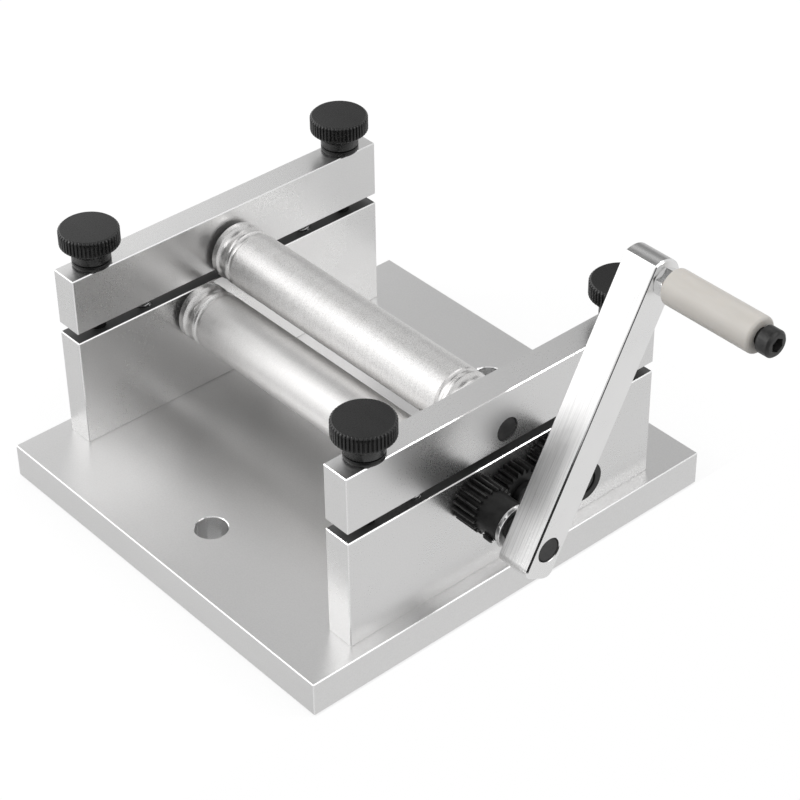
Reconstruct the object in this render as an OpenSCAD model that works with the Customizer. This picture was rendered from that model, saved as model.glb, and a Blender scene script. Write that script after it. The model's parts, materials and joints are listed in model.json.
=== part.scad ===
// Hand-cranked plate rolling machine: two geared lower rollers in side plates on a thick base, and a
// presser roller in two bars that four thumb screws draw down against lift springs.
// X runs along the rollers with the crank at +X, Y runs from front to back, Z is up.
// The origin is the middle of the base's underside.

/* [Base] */
// Thickness of the base plate
base_t = 12; // [8:0.5:20]
// Width of base left outside each side plate
base_margin_x = 5; // [3:0.5:20]
// Length of base left in front of and behind the side plates
base_margin_y = 18.5; // [12:0.5:40]
// Diameter of the two bench holes
bench_hole_d = 10.5; // [6:0.5:14]
// Distance of the bench holes from the base's front and back edges
bench_hole_inset = 21.5; // [14:0.5:30]
// Chamfer on the edges of plates, bars and holes
edge_chamfer = 0.3; // [0.2:0.05:1]

/* [Side plates and bars] */
// Clear width between the side plates
plate_gap_w = 120; // [80:1:300]
// Thickness of the side plates and pressure bars
plate_t = 10; // [9:0.5:16]
// Length of the side plates and pressure bars
plate_l = 123; // [112:1:200]
// Height of the pressure bars
bar_h = 20; // [18:0.5:40]
// Gap between side plate and pressure bar at rest
bar_gap = 3.4; // [3.4:0.1:8]
// Height of the top roller's axis above the underside of its bars
bar_axis_h = 5.8; // [5:0.1:9]

/* [Rollers] */
// Diameter of the three rollers
roller_d = 19.5; // [18:0.5:24]
// Space between the two lower rollers
roller_space = 9.9; // [8:0.1:12]
// Gap between the top roller and each lower roller at rest
nip = 3; // [2.6:0.1:5]
// Height of the lower rollers' axes above the base
roller_axis_h = 31.2; // [27:0.1:45]
// Diameter of the three shafts
shaft_d = 8; // [6:0.5:9]
// Space between a roller's end and the side plate
roller_end_gap = 1.6; // [1:0.1:3]
// Plain length at a roller's end, before the wide wire groove
end_land = 2.6; // [1:0.1:6]
// Width of the wide wire groove
wide_groove_w = 4; // [2:0.1:6]
// Plain length between the two wire grooves
groove_land = 1; // [0.6:0.1:4]
// Width of the narrow wire groove
narrow_groove_w = 2.6; // [1.5:0.1:5]
// Depth of both wire grooves
groove_depth = 0.7; // [0.3:0.1:1.2]
// Diameter of the thrust washers
thrust_d = 14; // [11:0.5:16]

/* [Gears] */
// Module of the gears
gear_module = 0.7; // [0.6:0.05:0.8]
// Teeth of the drive gear and the driven gear
gear_teeth = 20; // [18:1:22]
// Face width of the idler gear
idler_face = 6.4; // [4:0.1:8]
// How much wider the drive gear and the driven gear are than the idler
gear_over = 2.6; // [1:0.1:8]
// Gap between the right side plate and the gears
gear_clear = 0.5; // [0.3:0.1:2]
// Diameter of the gear hubs
hub_d = 13.1; // [12.5:0.1:14]
// Length of the gear hubs
hub_l = 8.8; // [6:0.1:12]
// Diameter of the idler stud's shoulder
stud_shoulder_d = 6; // [4:0.5:8]
// Diameter of the idler stud's head
stud_head_d = 9; // [8:0.5:11]
// Height of the idler stud's head
stud_head_h = 2.4; // [1.5:0.1:4]
// Diameter of the grub screws
grub_d = 4; // [3:0.5:5]
// How far the hub grub screws stand out of the hub
grub_proud = 1.3; // [0:0.1:1.5]

/* [Crank] */
// Length of the crank from the shaft's axis to the handle's axis
arm_l = 85; // [50:1:150]
// Width of the crank arm
arm_w = 11.6; // [10:0.1:20]
// Thickness of the crank arm
arm_t = 12; // [8:0.5:20]
// Length of the arm past the shaft's axis
arm_tail = 9.5; // [7.5:0.5:20]
// Length of the arm past the handle's axis
arm_tip = 6.25; // [5:0.25:15]
// How far the arm's rounded end stands out past its corners
arm_bulge = 3; // [1:0.1:5]
// Radius of the corners at the arm's tail
arm_corner_r = 3; // [1:0.5:4]
// Lean of the crank from upright, towards the back
arm_lean = 29; // [0:1:90]
// Diameter of the washer between gear hub and crank arm
washer_d = 14.4; // [13:0.1:20]
// Thickness of that washer
washer_t = 1.6; // [1:0.1:3]
// Space between the washer and the crank arm
washer_gap = 1.3; // [0:0.1:4]

/* [Handle] */
// Diameter of the handle sleeve
sleeve_d = 11.3; // [9:0.1:16]
// Length of the handle sleeve
sleeve_l = 32.2; // [20:0.1:80]
// Rounding of the sleeve's ends
sleeve_round = 1; // [0.3:0.1:1.5]
// Space between the sleeve and the screw's head
sleeve_play = 1.4; // [0.3:0.1:2]
// Diameter of the handle screw
bolt_d = 5; // [4:0.5:6]
// Diameter of its socket head
bolt_head_d = 8.3; // [7.5:0.1:10]
// Height of its socket head
bolt_head_h = 4.4; // [4:0.1:7]
// Width of the nut across its flats
nut_w = 8; // [7.5:0.5:10]
// Thickness of the nut
nut_t = 3.3; // [2:0.1:5]

/* [Thumb screws] */
// Diameter of the studs
stud_d = 5; // [4:0.5:6]
// Length of stud in the side plate at rest
stud_engage = 16.5; // [12:0.5:18]
// Distance of the studs from the ends of the plates
stud_inset = 11; // [8:0.5:14]
// Diameter of the knob's knurled rim
knob_d = 19.3; // [16:0.1:26]
// Height of the whole knob
knob_h = 13.2; // [11:0.1:20]
// Height of the knurled rim
knob_rim_h = 5.3; // [3:0.1:5.5]
// Chamfer round the knob's top
knob_edge = 0.8; // [0.3:0.1:1.5]
// Diameter of the knob's collar
knob_collar_d = 12.5; // [9:0.1:14]
// Height of the knob's collar, below the taper out to its rim
knob_collar_h = 5; // [2:0.1:5.5]
// Ridges round the knob's rim
knob_ridges = 48; // [24:1:72]
// Depth of the grooves between the ridges
knob_ridge_depth = 0.45; // [0.2:0.05:0.8]
// Travel of the bars downwards from rest
bar_travel_down = 3; // [1:0.5:3]

/* [Lift springs] */
// Outer diameter of the springs
spring_d = 5.4; // [4.5:0.1:6]
// Diameter of the spring wire
spring_wire = 0.8; // [0.5:0.1:1]
// Coils of each spring
spring_coils = 7; // [5:1:8]
// Depth of the spring pockets in plate and bar
pocket_depth = 8; // [7:0.5:10]
// Distance between a stud and its spring
spring_offset = 17.5; // [12:0.5:20]

/* [Base screws] */
// Diameter of the screws between base and side plates
screw_d = 5; // [4:0.5:6]
// Diameter of their heads
screw_head_d = 8.5; // [7:0.1:10]
// Height of their heads
screw_head_h = 5; // [3:0.5:6]
// Length of screw in the side plate
screw_engage = 14; // [8:0.5:18]
// Distance of the screws from the ends of the plates
screw_inset = 23.5; // [20:0.5:30]

/* [Fits] */
// Radial clearance of pieces fixed to each other
fit_clear = 0.02; // [0.01:0.01:0.05]
// Radial clearance of shafts and screws that turn in a hole
run_clear = 0.05; // [0.02:0.01:0.1]
// Radial clearance of studs in the bars and of heads in their recesses
slip_clear = 0.25; // [0.15:0.05:0.5]
// Space left between faces that move past each other
face_clear = 0.3; // [0.2:0.05:0.5]
// Thinning of every gear tooth at its pitch circle
backlash = 0.12; // [0.06:0.01:0.2]

/* [Hidden] */
$fn = 64;

ALUMINIUM = "#c9c9c7";
ROLLER_GREY = "#b4b4b1";
BLACK_STEEL = "#33332f";
BLACK_PLASTIC = "#3d3d3b";
BRIGHT_STEEL = "#dcdcd8";
PALE_PLASTIC = "#d8d5cf";

FRONT = -1;
BACK = 1;
LEFT = -1;
RIGHT = 1;

// Room cut past a face, so that a hole opens cleanly
past = 1;
// Depth of a threaded hole past the end of its screw
drill_past = 1;
// Width of a socket across its flats, as a share of its screw's diameter
head_socket_share = 0.8;
grub_socket_share = 0.5;
grub_chamfer = 0.3;

// Places across the machine
plate_in_x = plate_gap_w / 2;
plate_mid_x = plate_in_x + plate_t / 2;
plate_out_x = plate_in_x + plate_t;
base_w = 2 * (plate_out_x + base_margin_x);
base_d = plate_l + 2 * base_margin_y;
bench_hole_y = base_d / 2 - bench_hole_inset;
stud_y = plate_l / 2 - stud_inset;
spring_y = stud_y - spring_offset;
screw_y = plate_l / 2 - screw_inset;

// Heights: the lower axes are set, and the top axis, bars and side plates follow from the nip
roller_axis_y = (roller_d + roller_space) / 2;
axis_rise = sqrt(pow(roller_d + nip, 2) - pow(roller_axis_y, 2));
low_axis_z = base_t + roller_axis_h;
top_axis_z = low_axis_z + axis_rise;
bar_z = top_axis_z - bar_axis_h;
bar_top_z = bar_z + bar_h;
plate_top_z = bar_z - bar_gap;
plate_h = plate_top_z - base_t;

// Rollers and shafts
roller_l = plate_gap_w - 2 * roller_end_gap;
thrust_t = roller_end_gap - face_clear;
shaft_end_recess = 0.3;
shaft_chamfer = 0.5;

// Gears: the idler has the fewest teeth that bridge the two roller gears, and hangs below their line
pressure_angle = 20;
addendum = gear_module;
dedendum = 1.25 * gear_module;
flank_points = 5;
// Height of the straight foot of a tooth whose whole flank is involute
tooth_foot = 0.1;
// Keeps a spacing that is a whole number of teeth from being rounded up
whole_tooth_slack = 0.01;
idler_teeth = ceil(2 * roller_axis_y / gear_module - whole_tooth_slack) - gear_teeth + 1;
gear_centres = gear_module * (gear_teeth + idler_teeth) / 2;
idler_drop = sqrt(pow(gear_centres, 2) - pow(roller_axis_y, 2));
idler_z = low_axis_z - idler_drop;
drive_phase = 92;
drive_to_idler = atan2(-idler_drop, roller_axis_y);
idler_to_driven = atan2(idler_drop, roller_axis_y);
idler_phase = meshed_phase(drive_phase, gear_teeth, idler_teeth, drive_to_idler);
driven_phase = meshed_phase(idler_phase, idler_teeth, gear_teeth, idler_to_driven);
gear_face = idler_face + gear_over;
gear_x = plate_out_x + gear_clear;
// The hubs fill the tooth gaps only past the idler's face
hub_root = idler_face + face_clear;
hub_x = gear_x + gear_face;
hub_end_x = hub_x + hub_l;
stud_thread_wall = 2;
stud_thread = plate_t - stud_thread_wall;
stud_thread_step = 1;
stud_thread_d = stud_shoulder_d - stud_thread_step;
drive_grub_angle = 215;
driven_grub_angle = 20;
hub_grub_l = hub_d / 2 + grub_proud - shaft_d / 2 - fit_clear;

// Crank and handle
arm_x = hub_end_x + washer_t + washer_gap;
arm_end_x = arm_x + arm_t;
crank_angle = 90 - arm_lean;
handle_y = -roller_axis_y + arm_l * cos(crank_angle);
handle_z = low_axis_z + arm_l * sin(crank_angle);
arm_corner_x = arm_l + arm_tip - arm_bulge;
arm_end_r = (pow(arm_w / 2, 2) + pow(arm_bulge, 2)) / (2 * arm_bulge);
arm_grub_recess = 0.6;
arm_grub_l = arm_tail - shaft_d / 2 - arm_grub_recess;
sleeve_x = arm_end_x + nut_t + face_clear;
head_x = sleeve_x + sleeve_l + sleeve_play;
bolt_tip_recess = 0.5;

// Thumb screws
stud_l = bar_h + bar_gap + stud_engage;
stud_hole_depth = stud_engage + bar_travel_down + 2 * drill_past;
knob_roof = 3;
knob_socket = knob_h - knob_roof;
knob_flare_z = knob_h - knob_rim_h;
// Half widths of a ridge at its crest and foot, as shares of the ridge spacing
ridge_crest = 0.2;
ridge_foot = 0.42;

// Lift springs: a helix with a short straight stub at each end
spring_x = plate_mid_x;
spring_seat_z = plate_top_z - pocket_depth;
spring_roof_z = bar_z + pocket_depth;
spring_r = (spring_d - spring_wire) / 2;
spring_seat_gap = 0.1;
stub_bend_r = 0.9;
stub_l = spring_wire;
helix_low_z = spring_seat_z + spring_seat_gap + stub_l + stub_bend_r;
helix_high_z = spring_roof_z - spring_seat_gap - stub_l - stub_bend_r;
rings_per_coil = 8;
wire_sides = 6;
bend_steps = 3;
spring_points = spring_path();
echo("least gap of a lift spring to itself in mm", spring_self_gap(spring_points));

// Tooth phase of a gear that meshes with another gear, seen along X with angles from +Y to +Z
function meshed_phase(phase, teeth, next_teeth, to_next) =
    to_next + 180 - teeth / next_teeth * (phase - to_next) - 180 / next_teeth;

// Involute function in degrees
function involute(a) = tan(a) * 180 / PI - a;

// Half the angle that a tooth covers at radius r
function tooth_half_angle(teeth, r) =
    let (pitch_r = gear_module * teeth / 2,
         base_r = pitch_r * cos(pressure_angle),
         at_pitch = 90 / teeth - backlash / (2 * pitch_r) * 180 / PI)
    at_pitch + involute(pressure_angle) - involute(acos(min(1, base_r / max(r, base_r))));

function polar(r, a) = [r * cos(a), r * sin(a)];

// Outline of a spur gear
function gear_outline(teeth, phase) =
    let (pitch_r = gear_module * teeth / 2,
         root_r = pitch_r - dedendum,
         tip_r = pitch_r + addendum,
         flank_r = max(root_r + tooth_foot, pitch_r * cos(pressure_angle)),
         radii = [for (i = [0 : flank_points]) flank_r + (tip_r - flank_r) * i / flank_points],
         root_half = tooth_half_angle(teeth, flank_r))
    [for (k = [0 : teeth - 1])
        let (c = phase + k * 360 / teeth)
        each concat(
            [polar(root_r, c - root_half)],
            [for (r = radii) polar(r, c - tooth_half_angle(teeth, r))],
            [for (i = [flank_points : -1 : 0]) polar(radii[i], c + tooth_half_angle(teeth, radii[i]))],
            [polar(root_r, c + root_half)])];

// Outline of a knob's ridged rim
function ridge_outline() =
    let (r = knob_d / 2, step = 360 / knob_ridges)
    [for (k = [0 : knob_ridges - 1])
        each [polar(r - knob_ridge_depth, (k - ridge_foot) * step), polar(r, (k - ridge_crest) * step),
              polar(r, (k + ridge_crest) * step), polar(r - knob_ridge_depth, (k + ridge_foot) * step)]];

// One point of a spring's centre line as [place, radial direction]
function helix_point(i, n) =
    let (a = 360 * spring_coils * i / n)
    [[spring_r * cos(a), spring_r * sin(a), helix_low_z + (helix_high_z - helix_low_z) * i / n],
     [cos(a), sin(a), 0]];

// Stub at a spring's end: a quarter bend from the coil into a straight piece along Z
function stub_point(a, way, z, turn, straight) =
    let (ahead = way * stub_bend_r * sin(turn), along = way * (stub_bend_r * (1 - cos(turn)) + straight))
    [[spring_r * cos(a) - ahead * sin(a), spring_r * sin(a) + ahead * cos(a), z + along],
     [cos(a), sin(a), 0]];

function spring_path() =
    let (n = spring_coils * rings_per_coil, last = 360 * spring_coils)
    concat(
        [stub_point(0, -1, helix_low_z, 90, stub_l)],
        [for (i = [bend_steps : -1 : 1]) stub_point(0, -1, helix_low_z, 90 * i / bend_steps, 0)],
        [for (i = [0 : n]) helix_point(i, n)],
        [for (i = [1 : bend_steps]) stub_point(last, 1, helix_high_z, 90 * i / bend_steps, 0)],
        [stub_point(last, 1, helix_high_z, 90, stub_l)]);

// Least distance between two stretches of the wire that are over half a coil apart
function spring_self_gap(path) =
    min([for (i = [0 : len(path) - 1])
         for (j = [i + rings_per_coil / 2 + 1 : 1 : len(path) - 1])
             norm(path[i][0] - path[j][0])]) - spring_wire;

function unit(v) = v / norm(v);

// Corners of the wire's section at point i of the path
function wire_ring(path, i) =
    let (a = path[max(i - 1, 0)][0],
         b = path[min(i + 1, len(path) - 1)][0],
         along = i == 0 || i == len(path) - 1 ? [0, 0, 1] : unit(b - a),
         side = path[i][1],
         up = unit(cross(along, side)))
    [for (k = [0 : wire_sides - 1])
        let (turn = 360 / wire_sides * k)
        path[i][0] + spring_wire / 2 * (cos(turn) * unit(cross(up, along)) + sin(turn) * up)];

// Puts a shape drawn in XY and raised along Z at a place, with its Z along the machine's X
module along_x(x, y, z) {
    translate([x, y, z]) rotate([90, 0, 90]) children();
}

// Puts a shape made along +Z at a place on a shaft, pointing away from the shaft at an angle
module radial(x, y, z, angle) {
    translate([x, y, z]) rotate([angle, 0, 0]) rotate([-90, 0, 0]) children();
}

// Box with its low corner at the origin and all edges chamfered
module chamfered_box(w, d, h) {
    c = edge_chamfer;
    intersection() {
        linear_extrude(h) chamfered_rectangle(w, d, c);
        translate([0, d, 0]) rotate([90, 0, 0]) linear_extrude(d) chamfered_rectangle(w, h, c);
        rotate([90, 0, 90]) linear_extrude(w) chamfered_rectangle(d, h, c);
    }
}

module chamfered_rectangle(w, d, c) {
    polygon([[c, 0], [w - c, 0], [w, c], [w, d - c], [w - c, d], [c, d], [0, d - c], [0, c]]);
}

// Round bar from z = 0 with chamfered ends
module chamfered_rod(d, l, c) {
    rotate_extrude() polygon([[0, 0], [d / 2 - c, 0], [d / 2, c], [d / 2, l - c], [d / 2 - c, l], [0, l]]);
}

module ring(outer_d, inner_d, l) {
    difference() {
        cylinder(d = outer_d, h = l);
        translate([0, 0, -past]) cylinder(d = inner_d, h = l + 2 * past);
    }
}

// Hexagonal hole or bar with a given width across its flats
module hexagon(w, l) {
    cylinder(d = w / cos(30), h = l, $fn = 6);
}

module base_plate() {
    color(ALUMINIUM) difference() {
        translate([-base_w / 2, -base_d / 2, 0]) chamfered_box(base_w, base_d, base_t);
        for (side = [FRONT, BACK]) translate([0, side * bench_hole_y, 0]) bench_hole();
        for (side = [LEFT, RIGHT], end = [FRONT, BACK])
            translate([side * plate_mid_x, end * screw_y, -past]) base_screw_recess();
    }
}

// Bench hole with both rims chamfered
module bench_hole() {
    r = bench_hole_d / 2;
    c = edge_chamfer;
    rotate_extrude() polygon([
        [0, -past], [r + c + past, -past], [r, c], [r, base_t - c],
        [r + c + past, base_t + past], [0, base_t + past]]);
}

module base_screw_recess() {
    cylinder(d = screw_head_d + 2 * slip_clear, h = past + screw_head_h + face_clear);
    cylinder(d = screw_d + 2 * slip_clear, h = base_t + 2 * past);
}

module base_screws() {
    color(BLACK_STEEL) for (side = [LEFT, RIGHT], end = [FRONT, BACK])
        translate([side * plate_mid_x, end * screw_y, face_clear]) base_screw();
}

// Socket-head screw with its head down
module base_screw() {
    shank = base_t - screw_head_h - face_clear + screw_engage;
    difference() {
        union() {
            chamfered_rod(screw_head_d, screw_head_h, edge_chamfer);
            translate([0, 0, screw_head_h - fit_clear]) cylinder(d = screw_d, h = shank + fit_clear);
        }
        translate([0, 0, -past]) hexagon(head_socket_share * screw_d, past + screw_head_h / 2);
    }
}

module side_plate(side) {
    color(ALUMINIUM) difference() {
        translate([side * plate_mid_x - plate_t / 2, -plate_l / 2, base_t])
            chamfered_box(plate_t, plate_l, plate_h);
        for (end = [FRONT, BACK]) {
            along_x(side * plate_mid_x - plate_t / 2 - past, end * roller_axis_y, low_axis_z)
                cylinder(d = shaft_d + 2 * run_clear, h = plate_t + 2 * past);
            translate([side * plate_mid_x, end * stud_y, plate_top_z - stud_hole_depth])
                cylinder(d = stud_d + 2 * run_clear, h = stud_hole_depth + past);
            translate([side * spring_x, end * spring_y, spring_seat_z])
                cylinder(d = spring_d + 2 * slip_clear, h = pocket_depth + past);
            translate([side * plate_mid_x, end * screw_y, base_t - past])
                cylinder(d = screw_d + 2 * fit_clear, h = past + screw_engage + drill_past);
        }
        if (side == RIGHT)
            along_x(plate_out_x - stud_thread - drill_past, 0, idler_z)
                cylinder(d = stud_thread_d + 2 * fit_clear, h = stud_thread + drill_past + past);
    }
}

module left_side_plate() side_plate(LEFT);
module right_side_plate() side_plate(RIGHT);

module pressure_bar(side) {
    color(ALUMINIUM) difference() {
        translate([side * plate_mid_x - plate_t / 2, -plate_l / 2, bar_z])
            chamfered_box(plate_t, plate_l, bar_h);
        along_x(side * plate_mid_x - plate_t / 2 - past, 0, top_axis_z)
            cylinder(d = shaft_d + 2 * run_clear, h = plate_t + 2 * past);
        for (end = [FRONT, BACK]) {
            translate([side * plate_mid_x, end * stud_y, bar_z - past])
                cylinder(d = stud_d + 2 * slip_clear, h = bar_h + 2 * past);
            translate([side * spring_x, end * spring_y, bar_z - past])
                cylinder(d = spring_d + 2 * slip_clear, h = pocket_depth + past);
        }
    }
}

module left_bar() pressure_bar(LEFT);
module right_bar() pressure_bar(RIGHT);

// Roller along X with two round wire grooves near each end
module roller(y, z) {
    wide_at = end_land + wide_groove_w / 2;
    narrow_at = end_land + wide_groove_w + groove_land + narrow_groove_w / 2;
    color(ROLLER_GREY) along_x(-roller_l / 2, y, z) difference() {
        chamfered_rod(roller_d, roller_l, edge_chamfer);
        translate([0, 0, -past]) cylinder(d = shaft_d + 2 * fit_clear, h = roller_l + 2 * past);
        for (at = [wide_at, roller_l - wide_at]) translate([0, 0, at]) wire_groove(wide_groove_w);
        for (at = [narrow_at, roller_l - narrow_at]) translate([0, 0, at]) wire_groove(narrow_groove_w);
    }
}

// Ring with a round section that leaves a groove of the set depth and a given width
module wire_groove(w) {
    r = (pow(w / 2, 2) + pow(groove_depth, 2)) / (2 * groove_depth);
    rotate_extrude() translate([roller_d / 2 + r - groove_depth, 0]) circle(r);
}

module front_roller() roller(FRONT * roller_axis_y, low_axis_z);
module rear_roller() roller(BACK * roller_axis_y, low_axis_z);
module top_roller() roller(0, top_axis_z);

// Shaft from the left plate's outer face to a place on the right
module shaft(y, z, end_x) {
    start_x = -plate_out_x + shaft_end_recess;
    color(BLACK_STEEL) along_x(start_x, y, z) chamfered_rod(shaft_d, end_x - start_x, shaft_chamfer);
}

module front_shaft() shaft(FRONT * roller_axis_y, low_axis_z, arm_end_x - shaft_end_recess);
module rear_shaft() shaft(BACK * roller_axis_y, low_axis_z, hub_end_x - shaft_end_recess);
module top_shaft() shaft(0, top_axis_z, plate_out_x - shaft_end_recess);

// Washers against both ends of a roller
module thrust_washers(y, z) {
    color(BLACK_PLASTIC) for (x = [-roller_l / 2 - thrust_t, roller_l / 2])
        along_x(x, y, z) ring(thrust_d, shaft_d + 2 * fit_clear, thrust_t);
}

module front_thrust_washers() thrust_washers(FRONT * roller_axis_y, low_axis_z);
module rear_thrust_washers() thrust_washers(BACK * roller_axis_y, low_axis_z);
module top_thrust_washers() thrust_washers(0, top_axis_z);

// Gear with a hub on its outer side and a threaded hole for the grub screw
module hub_gear(y, phase, grub_angle) {
    color(BLACK_STEEL) difference() {
        along_x(gear_x, y, low_axis_z) union() {
            linear_extrude(gear_face) polygon(gear_outline(gear_teeth, phase));
            translate([0, 0, hub_root]) cylinder(d = hub_d, h = gear_face - hub_root + hub_l);
        }
        along_x(gear_x - past, y, low_axis_z)
            cylinder(d = shaft_d + 2 * fit_clear, h = gear_face + hub_l + 2 * past);
        radial(hub_x + hub_l / 2, y, low_axis_z, grub_angle)
            cylinder(d = grub_d + 2 * fit_clear, h = hub_d / 2 + past);
    }
}

module drive_gear() hub_gear(FRONT * roller_axis_y, drive_phase, drive_grub_angle);
module driven_gear() hub_gear(BACK * roller_axis_y, driven_phase, driven_grub_angle);

module grub_screw(l) {
    difference() {
        chamfered_rod(grub_d, l, grub_chamfer);
        translate([0, 0, l / 2]) hexagon(grub_socket_share * grub_d, l);
    }
}

module hub_grub(y, angle) {
    color(BLACK_STEEL) radial(hub_x + hub_l / 2, y, low_axis_z, angle)
        translate([0, 0, shaft_d / 2 + fit_clear]) grub_screw(hub_grub_l);
}

module drive_grub() hub_grub(FRONT * roller_axis_y, drive_grub_angle);
module driven_grub() hub_grub(BACK * roller_axis_y, driven_grub_angle);

module idler_gear() {
    color(BLACK_STEEL) along_x(gear_x, 0, idler_z) difference() {
        linear_extrude(idler_face) polygon(gear_outline(idler_teeth, idler_phase));
        translate([0, 0, -past]) cylinder(d = stud_shoulder_d + 2 * run_clear, h = idler_face + 2 * past);
    }
}

// Shoulder screw that carries the idler gear
module idler_stud() {
    shoulder = gear_clear + idler_face + face_clear;
    color(BLACK_STEEL) along_x(plate_out_x - stud_thread, 0, idler_z) difference() {
        rotate_extrude() polygon([
            [0, 0], [stud_thread_d / 2, 0], [stud_thread_d / 2, stud_thread],
            [stud_shoulder_d / 2, stud_thread], [stud_shoulder_d / 2, stud_thread + shoulder],
            [stud_head_d / 2, stud_thread + shoulder],
            [stud_head_d / 2, stud_thread + shoulder + stud_head_h - edge_chamfer],
            [stud_head_d / 2 - edge_chamfer, stud_thread + shoulder + stud_head_h],
            [0, stud_thread + shoulder + stud_head_h]]);
        translate([0, 0, stud_thread + shoulder + stud_head_h / 2])
            hexagon(grub_socket_share * stud_shoulder_d, stud_head_h);
    }
}

module arm_washer() {
    color(BRIGHT_STEEL) along_x(hub_end_x, FRONT * roller_axis_y, low_axis_z)
        ring(washer_d, shaft_d + 2 * fit_clear, washer_t);
}

// Puts a shape drawn with the crank along +X at the front shaft, with its Z along the machine's X
module on_crank(x) {
    along_x(x, FRONT * roller_axis_y, low_axis_z) rotate([0, 0, crank_angle]) children();
}

module crank_arm() {
    r = arm_corner_r;
    color(ALUMINIUM) on_crank(arm_x) difference() {
        union() {
            translate([r - arm_tail, -arm_w / 2, 0]) cube([arm_corner_x + arm_tail - r, arm_w, arm_t]);
            translate([-arm_tail, r - arm_w / 2, 0]) cube([2 * r, arm_w - 2 * r, arm_t]);
            for (side = [-1, 1])
                translate([r - arm_tail, side * (arm_w / 2 - r), 0]) cylinder(r = r, h = arm_t);
            intersection() {
                translate([arm_l + arm_tip - arm_end_r, 0, 0]) cylinder(r = arm_end_r, h = arm_t);
                translate([arm_corner_x - past, -arm_w / 2, 0]) cube([arm_bulge + 2 * past, arm_w, arm_t]);
            }
        }
        translate([0, 0, -past]) cylinder(d = shaft_d + 2 * fit_clear, h = arm_t + 2 * past);
        translate([arm_l, 0, -past]) cylinder(d = bolt_d + 2 * fit_clear, h = arm_t + 2 * past);
        translate([-arm_tail - past, 0, arm_t / 2]) rotate([0, 90, 0])
            cylinder(d = grub_d + 2 * fit_clear, h = past + arm_tail);
    }
}

module arm_grub() {
    color(BLACK_STEEL) on_crank(arm_x)
        translate([-shaft_d / 2 - fit_clear, 0, arm_t / 2]) rotate([0, -90, 0]) grub_screw(arm_grub_l);
}

// Socket-head screw from inside the crank arm out through the sleeve
module handle_screw() {
    tip = arm_x + bolt_tip_recess;
    c = edge_chamfer;
    color(BLACK_STEEL) along_x(tip, handle_y, handle_z) difference() {
        union() {
            chamfered_rod(bolt_d, head_x - tip + past, c);
            translate([0, 0, head_x - tip]) chamfered_rod(bolt_head_d, bolt_head_h, c);
        }
        translate([0, 0, head_x - tip + bolt_head_h / 2]) hexagon(head_socket_share * bolt_d, bolt_head_h);
    }
}

module handle_nut() {
    color(BRIGHT_STEEL) along_x(arm_end_x, handle_y, handle_z) difference() {
        rotate([0, 0, crank_angle]) hexagon(nut_w, nut_t);
        translate([0, 0, -past]) cylinder(d = bolt_d + 2 * fit_clear, h = nut_t + 2 * past);
    }
}

// Plain sleeve with rounded ends
module handle_sleeve() {
    r = sleeve_round;
    in_r = bolt_d / 2 + run_clear;
    out_r = sleeve_d / 2;
    color(PALE_PLASTIC) along_x(sleeve_x, handle_y, handle_z) difference() {
        union() {
            translate([0, 0, r]) cylinder(r = out_r, h = sleeve_l - 2 * r);
            cylinder(r = out_r - r, h = sleeve_l);
            for (z = [r, sleeve_l - r])
                translate([0, 0, z]) rotate_extrude() translate([out_r - r, 0]) circle(r);
        }
        translate([0, 0, -past]) cylinder(r = in_r, h = sleeve_l + 2 * past);
    }
}

// Knurled knob on top of a bar, with the hole that its stud is moulded into
module knob(side, end) {
    r = knob_d / 2;
    color(BLACK_PLASTIC) translate([side * plate_mid_x, end * stud_y, bar_top_z]) difference() {
        union() {
            cylinder(d = knob_collar_d, h = knob_flare_z);
            intersection() {
                translate([0, 0, knob_collar_h])
                    linear_extrude(knob_h - knob_collar_h) polygon(ridge_outline());
                rotate_extrude() polygon([
                    [0, knob_collar_h], [knob_collar_d / 2, knob_collar_h], [r, knob_flare_z],
                    [r, knob_h - knob_edge], [r - knob_edge, knob_h], [0, knob_h]]);
            }
        }
        translate([0, 0, -past]) cylinder(d = stud_d + 2 * fit_clear, h = knob_socket + past);
    }
}

module stud(side, end) {
    color(BLACK_STEEL)
        translate([side * plate_mid_x, end * stud_y, bar_top_z - stud_l])
            chamfered_rod(stud_d, stud_l + knob_socket, edge_chamfer);
}

module lift_spring(side, end) {
    n = len(spring_points);
    sides = wire_sides;
    points = [for (i = [0 : n - 1]) each wire_ring(spring_points, i)];
    walls = [for (i = [0 : n - 2], k = [0 : sides - 1])
        let (a = i * sides + k, b = i * sides + (k + 1) % sides)
        each [[a, b, b + sides], [a, b + sides, a + sides]]];
    first_cap = [for (k = [1 : sides - 2]) [0, k + 1, k]];
    top = (n - 1) * sides;
    last_cap = [for (k = [1 : sides - 2]) [top, top + k, top + k + 1]];
    color(BRIGHT_STEEL) translate([side * spring_x, end * spring_y, 0])
        polyhedron(points, concat(walls, first_cap, last_cap));
}

module knob_left_front() knob(LEFT, FRONT);
module knob_left_back() knob(LEFT, BACK);
module knob_right_front() knob(RIGHT, FRONT);
module knob_right_back() knob(RIGHT, BACK);
module stud_left_front() stud(LEFT, FRONT);
module stud_left_back() stud(LEFT, BACK);
module stud_right_front() stud(RIGHT, FRONT);
module stud_right_back() stud(RIGHT, BACK);
module spring_left_front() lift_spring(LEFT, FRONT);
module spring_left_back() lift_spring(LEFT, BACK);
module spring_right_front() lift_spring(RIGHT, FRONT);
module spring_right_back() lift_spring(RIGHT, BACK);

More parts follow.
